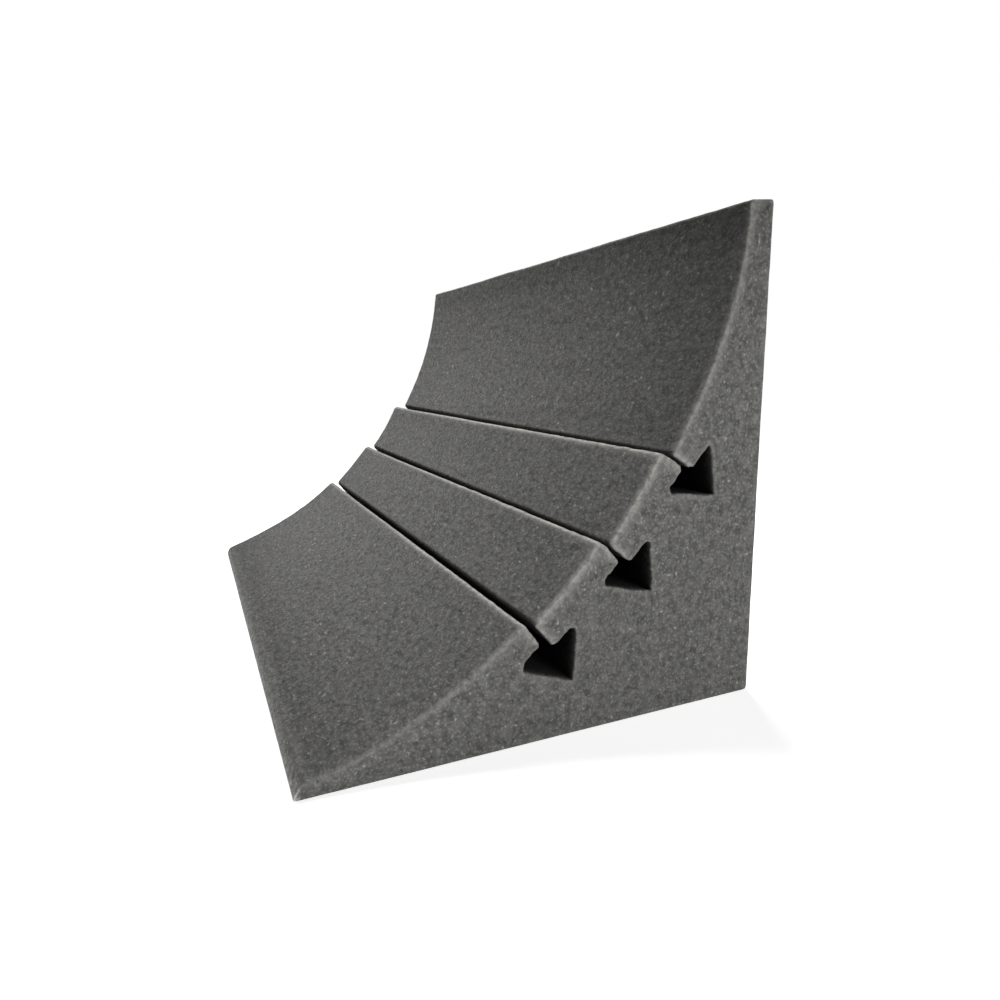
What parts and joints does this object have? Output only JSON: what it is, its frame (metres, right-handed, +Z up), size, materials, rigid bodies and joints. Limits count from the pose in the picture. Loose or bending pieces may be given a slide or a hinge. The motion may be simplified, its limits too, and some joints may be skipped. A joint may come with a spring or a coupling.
{
  "type": "bass trap",
  "caption": "Corner bass trap of charcoal acoustic foam: a long block with square backs, a hollow curved front, saw slots and hollows along it.",
  "frame": {"origin": "middle of the bounding box's base: midway along the block and midway between the wall face and the toe, on the base face", "axes": "+X along the corner that the trap fills, +Y towards the wall face, +Z up from the base face"},
  "size_m": [0.61, 0.305, 0.305],
  "materials": {
    "charcoal_foam": "open-cell polyurethane foam, sawn, dull"
  },
  "bodies": {
    "root": {"foam_block": "charcoal_foam"}
  },
  "joints": []
}
